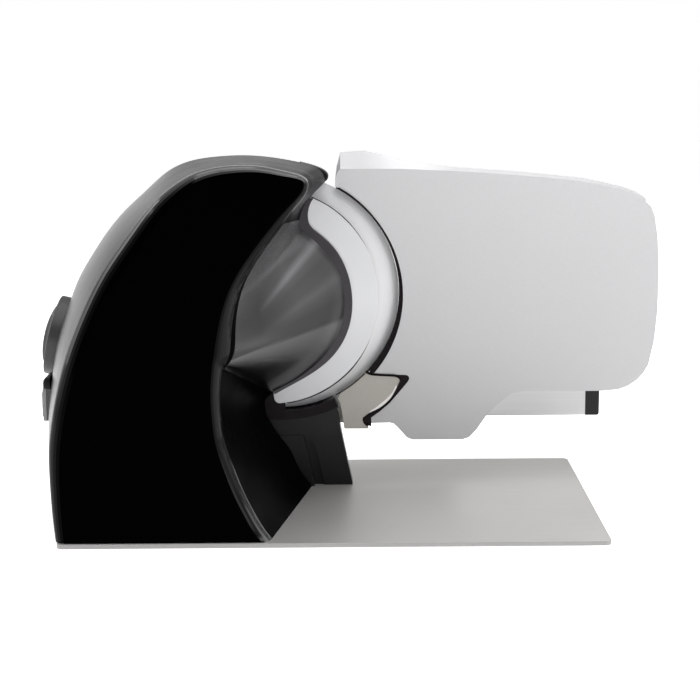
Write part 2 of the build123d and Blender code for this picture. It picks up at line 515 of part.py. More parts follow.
# ---- gauge slide: follower, yoke, rod, arm, bracket ---------------------------------------------
pin_at = KNOB_PLANE * Pos(CAM_R0, 0, -(25.2 + 41.0) / 2)
keep("follower_pin", tidy(pin_at * Cylinder(3.0, 41.0 - 25.2)))
yoke = poly_y([(-190.0, 28), (-157, 28), (-150, 34), (-70, 34), (-70, 54), (-150, 54), (-160, 60), (-176, 60), (-183.0, 72),
               (-183.0, 134), (-190.0, 134)], KY - CAM_R0 - 8, KY - CAM_R0 + 8)
yoke -= ycyl(ROD_X, ROD_Z, ROD_R, 0, 200)
yoke -= ycyl(-165, 44, 5.05, 0, 200)
yoke -= KNOB_PLANE * Pos(CAM_R0, 0, -38) * Cylinder(3.0, 30)
keep("slide_yoke", tidy(yoke))
keep("guide_rod", tidy(ycyl(-165, 44, 5.0, 50, 142)))
keep("gauge_rod", tidy(ycyl(ROD_X, ROD_Z, ROD_R, 66, 232)))


def bush(y0, y1, flange):
    b = ycyl(ROD_X, ROD_Z, 11.0, y0, y1) + ycyl(ROD_X, ROD_Z, 14.0, flange[0], flange[1])
    return tidy(b - ycyl(ROD_X, ROD_Z, ROD_R + 0.05, y0 - 5, y1 + 5))


keep("gauge_bush_front", bush(124, 142, (120, 124)))
keep("gauge_bush_rear", bush(155.6, 163.0, (159.0, 163.0)))

arm = box(-96, 104, 220, 234, 45, 56) + box(-98, -70, 216, 234, 34, 53)
arm -= ycyl(ROD_X, ROD_Z, ROD_R, 200, 232)
bracket = box(68, 104, GAUGE_B, 176, 41, 53) + box(68, 104, 176, 234, 41, 45)
GAUGE_BOLTS = [(76.0, 48.5), (96.0, 48.5)]
gs = []
for x, z in GAUGE_BOLTS:
    bracket -= ycyl(x, z, 2.5, 160, 190)
    gs.append((ycyl(x, z, 2.5, GAUGE_B - 4.5, 176) + ycyl(x, z, 3.4, 176, 179.5)).solids()[0])
for x in (76.0, 96.0):
    bracket -= zcyl(x, 227, 2.5, 30, 46)
    arm -= zcyl(x, 227, 2.5, 40, 53)
    gs.append((zcyl(x, 227, 2.5, 41, 53) + zcyl(x, 227, 4.2, 38, 41)).solids()[0])
keep("gauge_arm", tidy(arm))
keep("gauge_bracket", tidy(bracket))
keep("gauge_screws", Compound(children=gs))

# gauge plate: outline of its front face; the top edge slopes up towards the rear face
TOP_LINE = [(6.0, 266.3), (25.0, 266.4), (39.0, 266.4), (55.0, 266.2), (72.0, 265.4), (97.0, 264.2), (121.0, 262.6),
            (146.0, 260.7), (179.0, 257.5), (203.0, 254.9), (220.0, 251.8), (236.0, 248.4), (248.0, 244.5), (256.0, 239.8)]
LIP_LINE = [279.6, 280.9, 278.2, 273.7, 270.7, 267.3, 265.3, 263.6, 260.3, 257.6, 254.2, 250.4, 246.3, 241.2]
EDGE_LINE = [(260.4, 234.0), (263.5, 226.5), (266.2, 210.1), (267.6, 194.0), (268.0, 176.8), (267.9, 147.5), (265.7, 122.2),
             (261.6, 102.7), (257.5, 95.0), (252.3, 89.2), (245.0, 84.3), (236.6, 81.2), (222.3, 80.1), (159.4, 80.6),
             (147.6, 78.4), (139.0, 71.8), (127.7, 60.9), (118.6, 47.6), (112.6, 41.2), (106.8, 39.2), (64.7, 39.4), (60.2, 41.4),
             (52.0, 50.6), (49.0, 53.4), (46.0, 54.2), (30.4, 53.9)]
NOTCH_LINE = [(30.4, 58.6), (37.7, 64.0), (46.1, 71.2), (52.4, 78.6), (58.6, 86.0), (60.9, 88.9), (62.0, 90.7), (62.3, 92.0), (61.9, 93.4), (60.8, 94.4), (59.2, 94.9), (57.0, 95.0),
              (54.5, 95.0), (31.6, 96.3)]
body_pts = [(1.6, 252.5), (1.8, 258.0), (3.4, 263.5)]
body_pts += [(x, z - 2.0) for x, z in TOP_LINE] + EDGE_LINE + NOTCH_LINE + [(20.0, 110.0), (-5.0, 160.0), (-10.0, 240.0)]
gauge = poly_y(body_pts, GAUGE_F, GAUGE_B)
stations = []
for (x, z), lip in zip(TOP_LINE, LIP_LINE):
    stations.append(Wire.make_polygon([(x, GAUGE_F, z - 8.0), (x, GAUGE_B, z - 8.0), (x, GAUGE_B, lip), (x, GAUGE_F, z)], close=True))
gauge += Solid.make_loft(stations, ruled=True)
gauge += poly_y([(1.8, 258.0), (3.0, 268.0), (6.0, 279.6), (6.0, 258.0)], GAUGE_B - 2.0, GAUGE_B) \
    + poly_y([(1.8, 256.0), (3.4, 263.5), (6.0, 266.3), (6.0, 256.0)], GAUGE_F, GAUGE_B)
CUT_X, CUT_Z, CUT_R = AX, AZ - 2.34, 100.87       # the plate's round cut, off centre
gauge -= ycyl(CUT_X, CUT_Z, CUT_R, 150, 190)
for x, z in GAUGE_BOLTS:
    gauge -= ycyl(x, z, 2.5, GAUGE_B - 4.5, 190)
keep("gauge_plate", tidy(gauge))

strip = ring_sector(AX, AZ, 97.85, 107.0, -41.5, 62.0, GAUGE_F, GAUGE_B) & ycyl(CUT_X, CUT_Z, CUT_R, 150, 190)
strip += poly_y([(30.4, 58.6), (37.7, 64.0), (46.1, 71.2), (52.4, 78.6), (58.6, 86.0), (60.9, 88.9), (62.0, 90.7), (62.3, 92.0), (61.9, 93.4), (60.8, 94.4), (59.2, 94.9), (57.0, 95.0),
                 (54.5, 95.0), (31.6, 96.3), (31.3, 95.5), (50.6, 94.3), (54.4, 92.6), (55.4, 90.0), (53.2, 85.9), (52.0, 82.4),
                 (46.9, 73.7), (38.3, 66.4), (29.8, 62.1), (24.4, 58.2), (24.5, 55.8), (25.9, 53.6), (28.1, 51.9), (30.4, 50.6)], GAUGE_F, GAUGE_B)
strip += poly_y([(31.6, 96.3), (30.6, 96.0), (28.9, 97.6), (31.0, 100.8), (34.0, 101.0)], GAUGE_F, GAUGE_B)
keep("gauge_edge_strip", tidy(strip - PARTS["gauge_plate"]))

# ---- carriage rail, brackets, caps ----------------------------------------------------------------
rail = box(RAIL_X0, RAIL_X1, RAIL_Y0, RAIL_Y1, RAIL_Z0, RAIL_Z1)
rail -= box(RAIL_X0 - 1, RAIL_X1 + 1, 197.5, RAIL_Y1 + 1, 62, 70)
rail -= box(RAIL_X0 - 1, RAIL_X1 + 1, 191, 201, 56.5, 59.5)
rail = fillet(rail.edges().filter_by(Axis.X).filter_by(lambda e: abs(e.center().Y - RAIL_Y0) < 0.1), 1.5)
keep("carriage_rail", tidy(rail))
bracket = box(-56, -2, 182, RAIL_Y0, 8, 76)
keep("rail_bracket", tidy(bracket - box(-25, 30, 180, 186, 50, 62.5)))
cap = box(RAIL_X1, 225, RAIL_Y0, RAIL_Y1, RAIL_Z0, RAIL_Z1)
keep("rail_cap_right", tidy(fillet(cap.edges().filter_by(Axis.Y).filter_by(lambda e: e.center().X > 220), 2.0)))
keep("rail_cap_left", tidy(box(RAIL_X0 - 4, RAIL_X0, RAIL_Y0, RAIL_Y1, RAIL_Z0, RAIL_Z1)))

# ---- carriage: slider, tray, fence, handle ---------------------------------------------------------
slider = box(126, 206, 187, 213, RAIL_Z1 + 0.4, TRAY_Z0) + box(126, 206, RAIL_Y1 + 0.4, 213, 58, TRAY_Z0)
slider += box(126, 206, 198.2, RAIL_Y1 + 0.4, 62.5, 69.5)
keep("carriage_slider", tidy(slider))
tray = box(TRAY_X0, TRAY_X1, TRAY_Y0, TRAY_Y1, TRAY_Z0, TRAY_Z1)
tray = fillet(tray.edges().filter_by(Axis.Z), 8)
for i in range(9):
    y = 186 + 16 * i
    tray += Pos((TRAY_X0 + 240) / 2, y, TRAY_Z1) * Box(240 - TRAY_X0 - 16, 3, 2.4)
keep("carriage_tray", tidy(tray))
fence = poly_y([(243, TRAY_Z1), (247, TRAY_Z1), (247, 181), (243, 181)], 176, 326)
fence = fillet(fence.edges().filter_by(Axis.X).filter_by(lambda e: e.center().Z > 170), 14)
fence += box(243, 247, 178, 184, 160, 190) + box(243, 247, 316, 322, 160, 190)
fence += ycyl(245, 188, 7.5, 178, 184) + ycyl(245, 188, 7.5, 316, 322)
fence -= ycyl(245, 188, 5.0, 170, 330)
keep("carriage_fence", tidy(fence))
keep("pusher_rod", tidy(ycyl(245, 188, 5.0, 176, 324)))
handle = Pos(281, 296, 132) * Cylinder(7.0, 100)
handle = fillet(handle.edges(), 4)
handle += xcyl(296, 93, 5.0, 247, 281) + xcyl(296, 171, 5.0, 247, 281)
keep("carriage_handle", tidy(handle))

# ---- food pusher on its rod ----------------------------------------------------------------------
carrier = box(236, 254, 284, 312, 182.5, 197) - ycyl(245, 188, 5.05, 270, 330)
carrier = tidy(carrier)
keep("pusher_carrier", carrier)
plate = poly_y([(96, 92), (238, 92), (238, 178), (236, 182), (236, 196), (190, 196), (180, 178), (96, 170)], 281, 284)
plate = fillet(plate.edges().filter_by(Axis.Y), 1.9)
for i in range(5):
    for j in range(3):
        plate += Pos(112 + 26 * i, 279.5, 104 + 26 * j) * Rot(90, 0, 0) * Cone(1.8, 0.5, 3.2)
keep("pusher_plate", tidy(plate))
grip = ycyl(168, 134, 8, 284, 306) + ycyl(168, 134, 15, 300, 316)
keep("pusher_grip", tidy(fillet(grip.edges().filter_by(GeomType.CIRCLE).filter_by(lambda e: e.center().Y > 299), 3)))

# ---- switch -------------------------------------------------------------------------------------------
bezel = box(*BEZEL)
bezel -= box(-230, -213.0, 65.6, 76.4, 83.0, 103.0) + box(-230, -213.0, 77.6, 88.4, 83.0, 103.0)
bezel = fillet(bezel.edges().filter_by(lambda e: e.center().X < -224.5 and (e.center().Y < 64.1 or e.center().Y > 89.9
                                       or e.center().Z < 80.6 or e.center().Z > 105.4)), 1.0)
keep("switch_bezel", tidy(bezel))
for name, y0 in (("on_button", 66.0), ("off_button", 78.0)):
    b = box(-226.0, -215.5, y0, y0 + 10.0, 83.4, 102.6)
    b = fillet(b.edges().filter_by(lambda e: e.center().X < -225.9), 1.0)
    keep(name, tidy(b))

# ---- write everything, moved to the common origin -----------------------------------------------------
os.makedirs("parts", exist_ok=True)
lo, hi = [1e9] * 3, [-1e9] * 3
for name in sorted(PARTS):
    shape = Pos(OX, OY, OZ) * PARTS[name]
    bb = shape.bounding_box()
    for i, v in enumerate(tuple(bb.min)):
        lo[i] = min(lo[i], v)
    for i, v in enumerate(tuple(bb.max)):
        hi[i] = max(hi[i], v)
    export_step(shape, "parts/" + name + ".step")
print(len(PARTS), "nodes; low", [round(v, 3) for v in lo], "high", [round(v, 3) for v in hi])
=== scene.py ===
import bpy, bmesh, math
from mathutils import Vector, Matrix


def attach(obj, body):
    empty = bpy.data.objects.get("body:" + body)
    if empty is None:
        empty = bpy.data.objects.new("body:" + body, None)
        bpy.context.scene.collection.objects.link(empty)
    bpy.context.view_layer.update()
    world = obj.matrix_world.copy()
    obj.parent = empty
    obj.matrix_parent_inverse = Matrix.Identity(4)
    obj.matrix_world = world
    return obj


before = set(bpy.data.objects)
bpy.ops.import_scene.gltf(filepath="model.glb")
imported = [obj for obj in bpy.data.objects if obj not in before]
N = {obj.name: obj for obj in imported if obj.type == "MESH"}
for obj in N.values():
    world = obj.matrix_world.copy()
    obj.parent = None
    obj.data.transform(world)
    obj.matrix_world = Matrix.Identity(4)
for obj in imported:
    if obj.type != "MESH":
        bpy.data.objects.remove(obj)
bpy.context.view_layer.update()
SC = bpy.context.scene

# the solids' drawing origin in the row frame, in metres
OX, OY, OZ = -0.0272033, -0.165, 0.0115


def P(x, y, z):
    """A point given in millimetres from the middle of the base plate's front top edge."""
    return Vector((x / 1000 + OX, y / 1000 + OY, z / 1000 + OZ))


AXIS = P(-43.7, 0, 164.4)          # blade axis

# ---------------------------------------------------------------- materials
class Mat:
    """A small builder for node materials; coordinates are the row frame's, in metres."""

    def __init__(self, name):
        self.m = bpy.data.materials.new(name)
        self.m.use_nodes = True
        self.t = self.m.node_tree
        self.n, self.l = self.t.nodes, self.t.links
        self.b = self.n["Principled BSDF"]
        self.co = self.n.new("ShaderNodeTexCoord").outputs["Object"]

    def set(self, **k):
        names = {"color": "Base Color", "rough": "Roughness", "metal": "Metallic", "spec": "Specular IOR Level", "ior": "IOR",
                 "coat": "Coat Weight", "coat_rough": "Coat Roughness", "trans": "Transmission Weight", "sheen": "Sheen Weight",
                 "aniso": "Anisotropic"}
        for key, v in k.items():
            s = self.b.inputs[names[key]]
            s.default_value = (*v, 1.0) if key == "color" else v
        return self

    def scaled(self, sx, sy, sz, vec=None):
        m = self.n.new("ShaderNodeMapping")
        m.inputs["Scale"].default_value = (sx, sy, sz)
        self.l.new(vec or self.co, m.inputs["Vector"])
        return m.outputs["Vector"]

    def radius(self, centre):
        """Distance from an axis along Y through centre, as a vector along X."""
        s = self.n.new("ShaderNodeVectorMath"); s.operation = "SUBTRACT"
        s.inputs[1].default_value = tuple(centre)
        self.l.new(self.co, s.inputs[0])
        f = self.n.new("ShaderNodeVectorMath"); f.operation = "MULTIPLY"
        f.inputs[1].default_value = (1, 0, 1)
        self.l.new(s.outputs[0], f.inputs[0])
        d = self.n.new("ShaderNodeVectorMath"); d.operation = "LENGTH"
        self.l.new(f.outputs[0], d.inputs[0])
        c = self.n.new("ShaderNodeCombineXYZ")
        self.l.new(d.outputs["Value"], c.inputs[0])
        return c.outputs[0]

    def noise(self, scale, detail=3.0, vec=None, rough=0.55):
        t = self.n.new("ShaderNodeTexNoise")
        t.inputs["Scale"].default_value = scale
        t.inputs["Detail"].default_value = detail
        t.inputs["Roughness"].default_value = rough
        self.l.new(vec or self.co, t.inputs["Vector"])
        return t.outputs["Fac"]

    def voronoi(self, scale, vec=None):
        t = self.n.new("ShaderNodeTexVoronoi")
        t.inputs["Scale"].default_value = scale
        self.l.new(vec or self.co, t.inputs["Vector"])
        return t.outputs["Distance"]

    def ramp(self, fac, stops):
        r = self.n.new("ShaderNodeValToRGB")
        e = r.color_ramp.elements
        while len(e) < len(stops):
            e.new(0.5)
        for k, (p, c) in zip(e, stops):
            k.position = p
            k.color = (*c, 1.0) if len(c) == 3 else c
        self.l.new(fac, r.inputs["Fac"])
        return r.outputs["Color"]

    def span(self, fac, lo, hi, a=0.3, b=0.7):
        m = self.n.new("ShaderNodeMapRange")
        m.inputs["From Min"].default_value, m.inputs["From Max"].default_value = a, b
        m.inputs["To Min"].default_value, m.inputs["To Max"].default_value = lo, hi
        self.l.new(fac, m.inputs["Value"])
        return m.outputs["Result"]

    def to(self, name, socket):
        self.l.new(socket, self.b.inputs[name])
        return self

    def bump(self, height, strength, distance):
        b = self.n.new("ShaderNodeBump")
        b.inputs["Strength"].default_value = strength
        b.inputs["Distance"].default_value = distance
        prev = self.b.inputs["Normal"].links
        if prev:
            self.l.new(prev[0].from_socket, b.inputs["Normal"])
        self.l.new(height, b.inputs["Height"])
        self.l.new(b.outputs["Normal"], self.b.inputs["Normal"])
        return self


def tint(c, f):
    return tuple(max(0.0, min(1.0, x * f)) for x in c)


def plastic(name, color, rough=(0.3, 0.4), grain=1800, depth=0.00004, spec=0.5, cloud=25, swing=0.18, coat=0.0):
    m = Mat(name).set(spec=spec)
    m.to("Base Color", m.ramp(m.noise(cloud, 4), [(0.25, tint(color, 1 - swing)), (0.75, tint(color, 1 + swing))]))
    m.to("Roughness", m.span(m.noise(grain * 0.3, 3), *rough))
    if coat:
        m.set(coat=coat, coat_rough=0.04)
    m.bump(m.noise(grain, 2), 0.35, depth)
    return m.m


def metal(name, color, rough=(0.25, 0.4), brush=(4, 900, 4), depth=0.00002, swing=0.06, metallic=1.0, vec=None, cloud=12, bump=0.25, painted_shade_below=None):
    m = Mat(name).set(metal=metallic)
    v = m.scaled(*brush) if vec is None else m.scaled(*brush, vec=m.radius(vec))
    lines = m.noise(1.0, 4, v, 0.7)
    tone = m.ramp(lines, [(0.25, tint(color, 1 - swing)), (0.75, tint(color, 1 + swing))])
    # painted shade: the colour is dimmed towards the bottom, where less light falls
    if painted_shade_below:
        axes = m.n.new("ShaderNodeSeparateXYZ")
        m.l.new(m.co, axes.inputs[0])
        painted_shade_dim = m.n.new("ShaderNodeMix"); painted_shade_dim.data_type = "RGBA"; painted_shade_dim.blend_type = "MULTIPLY"
        painted_shade_dim.inputs[0].default_value = 1.0
        m.l.new(tone, painted_shade_dim.inputs[6]); m.l.new(m.span(axes.outputs["Z"], painted_shade_below[2], 1.0, painted_shade_below[0], painted_shade_below[1]), painted_shade_dim.inputs[7])
        tone = painted_shade_dim.outputs[2]
    m.to("Base Color", tone)
    mix = m.n.new("ShaderNodeMath"); mix.operation = "MULTIPLY_ADD"
    m.l.new(lines, mix.inputs[0]); mix.inputs[1].default_value = 0.6
    soft = m.span(m.noise(cloud, 3), 0.1, 0.3)
    m.l.new(soft, mix.inputs[2])
    m.to("Roughness", m.span(mix.outputs[0], *rough, a=0.25, b=0.75))
    m.bump(lines, bump, depth)
    return m.m


def gloss_black(name, color=(0.0045, 0.0045, 0.005), spec=0.3, rough=(0.045, 0.085)):
    m = Mat(name).set(spec=spec)
    m.to("Base Color", m.ramp(m.noise(18, 5), [(0.3, tint(color, 0.7)), (0.7, tint(color, 1.4))]))
    m.to("Roughness", m.span(m.noise(700, 3), *rough))
    m.bump(m.noise(160, 2), 0.05, 0.00003)
    return m.m


def lacquer(name):
    """Gloss black cover: a deep flat front, and a clear coat that only shows on the rounded edge and the sides. Its
    base colour is painted lighter where the rounded edge faces up, a painted sheen.
    """
    m = Mat(name).set(spec=0.004, coat_rough=0.09)
    m.to("Roughness", m.span(m.noise(700, 3), 0.06, 0.1))
    g = m.n.new("ShaderNodeNewGeometry")
    axes = m.n.new("ShaderNodeSeparateXYZ")
    m.l.new(g.outputs["Normal"], axes.inputs[0])
    round_ = m.span(axes.outputs["Y"], 0.0, 1.0, -0.985, -0.75)
    up = m.span(axes.outputs["Z"], 0.3, 1.0, 0.2, 0.6)
    both_ = m.n.new("ShaderNodeMath"); both_.operation = "MULTIPLY"
    m.l.new(round_, both_.inputs[0]); m.l.new(up, both_.inputs[1])
    m.to("Coat Weight", both_.outputs[0])
    # painted sheen: the base colour grows lighter on the rounded edge where it faces up
    painted_top_sheen = m.n.new("ShaderNodeMath"); painted_top_sheen.operation = "MULTIPLY"
    m.l.new(round_, painted_top_sheen.inputs[0]); m.l.new(m.span(axes.outputs["Z"], 0.0, 1.0, 0.4, 0.8), painted_top_sheen.inputs[1])
    tone_and_painted_sheen = m.n.new("ShaderNodeMath"); tone_and_painted_sheen.operation = "MULTIPLY_ADD"
    m.l.new(m.noise(18, 5), tone_and_painted_sheen.inputs[0]); tone_and_painted_sheen.inputs[1].default_value = 0.02
    m.l.new(painted_top_sheen.outputs[0], tone_and_painted_sheen.inputs[2])
    m.to("Base Color", m.ramp(tone_and_painted_sheen.outputs[0], [(0.0, (0.0002, 0.0002, 0.0002)), (0.03, (0.0006, 0.0006, 0.0006)), (1.0, (0.06, 0.06, 0.06))]))
    m.bump(m.noise(160, 2), 0.05, 0.00003)
    return m.m


def satin_black(name):
    """Black whose satin coat fades out on the side that faces the blade."""
    m = Mat(name).set(spec=0.004, coat_rough=0.3)
    m.to("Base Color", m.ramp(m.noise(18, 5), [(0.3, (0.0008, 0.0008, 0.0008)), (0.7, (0.0016, 0.0016, 0.0017))]))
    m.to("Roughness", m.span(m.noise(40, 3), 0.26, 0.34))
    g = m.n.new("ShaderNodeNewGeometry")
    axes = m.n.new("ShaderNodeSeparateXYZ")
    m.l.new(g.outputs["Normal"], axes.inputs[0])
    over = m.n.new("ShaderNodeMath"); over.operation = "MULTIPLY"
    m.l.new(m.span(axes.outputs["X"], 0.98, 0.0, 0.08, 0.5), over.inputs[0])
    m.l.new(m.span(axes.outputs["Z"], 1.0, 0.5, 0.72, 0.97), over.inputs[1])
    m.to("Coat Weight", over.outputs[0])
    m.bump(m.noise(60, 2), 0.015, 0.00003)
    return m.m


def fan_black(name, centre, near, far):
    """Glossy black whose base colour carries a painted sheen: painted reflection streaks and painted shade along the
    straight lines that fan out from one corner.

    The stops are (degrees, grey), close to that corner and at the rear edge."""
    m = Mat(name).set(spec=0.32)
    s = m.n.new("ShaderNodeVectorMath"); s.operation = "SUBTRACT"
    s.inputs[1].default_value = tuple(centre)
    m.l.new(m.co, s.inputs[0])
    axes = m.n.new("ShaderNodeSeparateXYZ")
    m.l.new(s.outputs[0], axes.inputs[0])
    rise = m.n.new("ShaderNodeMath"); rise.operation = "MULTIPLY_ADD"
    m.l.new(axes.outputs["Y"], rise.inputs[0]); rise.inputs[1].default_value = 0.181
    m.l.new(axes.outputs["Z"], rise.inputs[2])
    turn = m.n.new("ShaderNodeMath"); turn.operation = "ARCTAN2"
    m.l.new(rise.outputs[0], turn.inputs[0]); m.l.new(axes.outputs["X"], turn.inputs[1])
    wave = m.n.new("ShaderNodeMath"); wave.operation = "MULTIPLY_ADD"
    m.l.new(m.noise(9, 2), wave.inputs[0]); wave.inputs[1].default_value = 0.05
    m.l.new(turn.outputs[0], wave.inputs[2])
    lo, hi = math.radians(-45), math.radians(95)
    fac = m.span(wave.outputs[0], 0.0, 1.0, lo + 0.025, hi + 0.025)
    both_ = m.n.new("ShaderNodeMix"); both_.data_type = "RGBA"
    m.l.new(m.span(axes.outputs["Y"], 0.0, 1.0, 0.045, 0.09), both_.inputs[0])
    for stops, slot in ((near, 6), (far, 7)):
        m.l.new(m.ramp(fac, [((math.radians(a) - lo) / (hi - lo), (g, g, g * 1.02)) for a, g in stops]), both_.inputs[slot])
    m.to("Base Color", both_.outputs[2])
    m.to("Roughness", m.span(m.noise(40, 2), 0.2, 0.25))
    return m.m


M = {}
M["cover"] = lacquer("moulded_gloss_black")
M["housing"] = satin_black("moulded_gloss_black_rear")
# the deflector's base colour is painted: bright reflection streaks and a dark shaded lower part, set by angle about the
# fan's corner
M["deflector"] = fan_black("deflector_gloss_painted_sheen", P(-83.0, 3.0, 135.0), [
    (-45, 0.0005), (-22, 0.001), (-12, 0.004), (-4, 0.022), (6, 0.05), (17, 0.095), (21.5, 0.105), (25, 0.034), (31, 0.03), (38, 0.025),
    (44, 0.021), (66, 0.021), (72, 0.03), (90, 0.03)], [
    (-45, 0.0005), (-22, 0.001), (-12, 0.004), (-4, 0.012), (6, 0.042), (17, 0.095), (20.5, 0.1), (22.5, 0.03), (31, 0.036), (36, 0.062),
    (39, 0.085), (43, 0.06), (49, 0.055), (53, 0.08), (55.5, 0.18), (58.5, 0.07), (63, 0.055), (66, 0.075), (69, 0.072), (72, 0.03), (90, 0.03)])
M["tip"] = gloss_black("moulded_gloss_black_tip", (0.014, 0.014, 0.0145), 0.12, (0.2, 0.28))
M["switch_lip"] = plastic("switch_seal", (0.3, 0.3, 0.3), (0.3, 0.4), 1500, 0.00003, swing=0.06)
M["switch"] = gloss_black("switch_gloss", (0.01, 0.01, 0.0105), 0.6, (0.07, 0.11))
M["smoke"] = plastic("smoky_plastic", (0.03, 0.024, 0.031), (0.12, 0.22), 900, 0.00002, cloud=60, spec=0.4)
M["smoke_dark"] = plastic("smoky_plastic_dark", (0.008, 0.0045, 0.006), (0.2, 0.32), 900, 0.00002, cloud=60, spec=0.08)
M["black"] = plastic("moulded_black", (0.008, 0.008, 0.0085), (0.32, 0.45), 2600, 0.00006, spec=0.28)
M["knob"] = plastic("knob_black", (0.05, 0.05, 0.051), (0.34, 0.5), 2600, 0.00006)
M["base"] = metal("brushed_plate", (0.69, 0.675, 0.66), (0.36, 0.5), (3, 1100, 3), metallic=0.7)
M["base_edge"] = metal("plate_edge", (0.36, 0.355, 0.35), (0.4, 0.55), (500, 500, 500), metallic=0.7)
# the crescent plate carries painted shade, darker towards the bottom
M["cover_plate"] = metal("circular_brushed_plate", (0.75, 0.755, 0.77), (0.26, 0.36), (700, 1, 1), 0.000006, 0.02, 0.5, vec=AXIS, bump=0.12, painted_shade_below=(0.085, 0.17, 0.66))
M["blade"] = metal("ground_blade", (0.86, 0.865, 0.875), (0.36, 0.46), (1300, 1, 1), 0.000006, 0.025, 0.1, vec=AXIS, bump=0.12)
M["blade_back"] = metal("ground_blade_back", (0.6, 0.605, 0.615), (0.3, 0.42), (900, 1, 1), 0.00001, 0.04, 0.85, vec=AXIS)
# the gauge plate carries painted shade, darker towards the bottom
M["gauge"] = metal("satin_anodised", (0.69, 0.69, 0.7), (0.42, 0.55), (600, 600, 600), 0.00001, 0.03, 0.35, painted_shade_below=(0.0655, 0.29, 0.78))
M["rail"] = metal("drawn_aluminium", (0.65, 0.65, 0.655), (0.34, 0.48), (6, 700, 700), 0.00002, metallic=0.5)
M["tray"] = metal("brushed_tray", (0.7, 0.7, 0.705), (0.32, 0.46), (5, 900, 900), 0.00002, metallic=0.8)
M["turned"] = metal("turned_steel", (0.6, 0.6, 0.6), (0.2, 0.32), (500, 500, 500), 0.00001)
M["cast"] = plastic("cast_aluminium", (0.5, 0.5, 0.51), (0.4, 0.6), 900, 0.0001)
M["beige"] = metal("nickel_plate", (0.4, 0.38, 0.35), (0.34, 0.46), (700, 700, 700), 0.00001, 0.05, 0.5)
M["beige_edge_highlight"] = metal("nickel_edge_highlight", (0.74, 0.72, 0.71), (0.28, 0.4), (700, 700, 700), 0.00001, 0.05, 0.5)
M["bronze"] = metal("sintered_bronze", (0.5, 0.36, 0.18), (0.35, 0.5), (600, 600, 600))
M["white"] = plastic("natural_acetal", (0.72, 0.71, 0.67), (0.35, 0.5), 1500, 0.00003, swing=0.05)
M["clear"] = plastic("frosted_plastic", (0.5, 0.51, 0.52), (0.3, 0.42), 1500, 0.00004, swing=0.05)
M["print"] = plastic("white_print", (0.62, 0.62, 0.6), (0.4, 0.5), 2200, 0.00001, swing=0.06)
M["rubber"] = plastic("rubber", (0.018, 0.018, 0.018), (0.7, 0.85), 1200, 0.00012)

USE = {
    "cover": "front_cover", "housing": "rear_housing", "deflector": "slice_deflector",
    "smoke": "deflector_rim", "smoke_dark": "blade_guard gauge_edge_strip",
    "black": "support_leg back_cover rail_cap_right rail_cap_left cable_gland control_box carriage_handle pusher_grip "
             "pusher_carrier motor_fan rail_bracket",
    "switch": "switch_bezel on_button off_button",
    "knob": "thickness_knob dial_ring", "base": "base_plate", "cover_plate": "blade_cover_plate", "blade": "blade",
    "gauge": "gauge_plate", "rail": "carriage_rail", "tray": "carriage_tray carriage_fence",
    "turned": "feet_screws chassis_screws blade_shaft blade_screws bearing_front bearing_rear motor_rotor motor_stator gauge_rod guide_rod "
              "gauge_screws follower_pin knob_shaft pusher_rod motor_case",
    "cast": "chassis bearing_housing blade_pulley motor_pulley slide_yoke gauge_arm gauge_bracket",
    "beige": "bridge_plate", "bronze": "gauge_bush_front gauge_bush_rear", "white": "scroll_cam carriage_slider", "clear": "pusher_plate",
    "rubber": "rubber_feet drive_belt",
}
for key, names in USE.items():
    for n in names.split():
        o = N[n]
        o.data.materials.clear()
        o.data.materials.append(M[key])

# the blade is ground bright on its bevel and left plain behind
disc = N["blade"].data
disc.materials.append(M["blade_back"])
for f in disc.polygons:
    if f.normal.y > -0.3:
        f.material_index = 1

# the plate's side faces get a darker, rougher metal than its brushed top
plate = N["base_plate"].data
plate.materials.append(M["base_edge"])
for f in plate.polygons:
    if abs(f.normal.z) < 0.5:
        f.material_index = 1

# ---------------------------------------------------------------- edges of the solids
def soften(name, width, segments=2, angle=32):
    """A small rounding along the sharp edges of a solid; its own points stay where they are."""
    o = N[name]
    w = o.modifiers.new("weld", "WELD"); w.merge_threshold = 2e-6
    d = o.modifiers.new("flat", "DECIMATE"); d.decimate_type = "DISSOLVE"; d.angle_limit = math.radians(0.4)
    b = o.modifiers.new("edge", "BEVEL")
    b.width, b.segments, b.limit_method, b.angle_limit = width / 1000, segments, "ANGLE", math.radians(angle)
    b.use_clamp_overlap = True
    b.miter_outer = "MITER_ARC"
    o.modifiers.new("shade", "WEIGHTED_NORMAL").keep_sharp = False


for names, width in (("base_plate gauge_bracket pusher_plate cable_gland thickness_knob", 0.5), ("dial_ring", 0.7),
                     ("bridge_plate blade_cover_plate", 0.35), ("rail_cap_right rail_cap_left deflector_rim back_cover rail_bracket", 0.6),
                     ("support_leg carriage_fence pusher_carrier rubber_feet", 0.8), ("gauge_arm", 1.0), ("gauge_edge_strip", 0.3)):
    for n in names.split():
        soften(n, width)


def crisp(name, angle=20):
    """Smooth faces with hard edges between them."""
    o = N[name]
    w = o.modifiers.new("weld", "WELD"); w.merge_threshold = 2e-6
    for f in o.data.polygons:
        f.use_smooth = True
    o.modifiers.new("edge", "EDGE_SPLIT").split_angle = math.radians(angle)
    o.modifiers.new("shade", "WEIGHTED_NORMAL").keep_sharp = False


for n in "blade blade_pulley motor_pulley blade_shaft knob_shaft".split():
    crisp(n)


# ---------------------------------------------------------------- small pieces that the solids leave out
def piece(name, bm, material, body, smooth=True):
    me = bpy.data.meshes.new(name)
    bmesh.ops.recalc_face_normals(bm, faces=bm.faces[:])
    bm.to_mesh(me); bm.free()
    for f in me.polygons:
        f.use_smooth = smooth
    o = bpy.data.objects.new(name, me)
    SC.collection.objects.link(o)
    me.materials.append(M[material])
    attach(o, body)
    return o


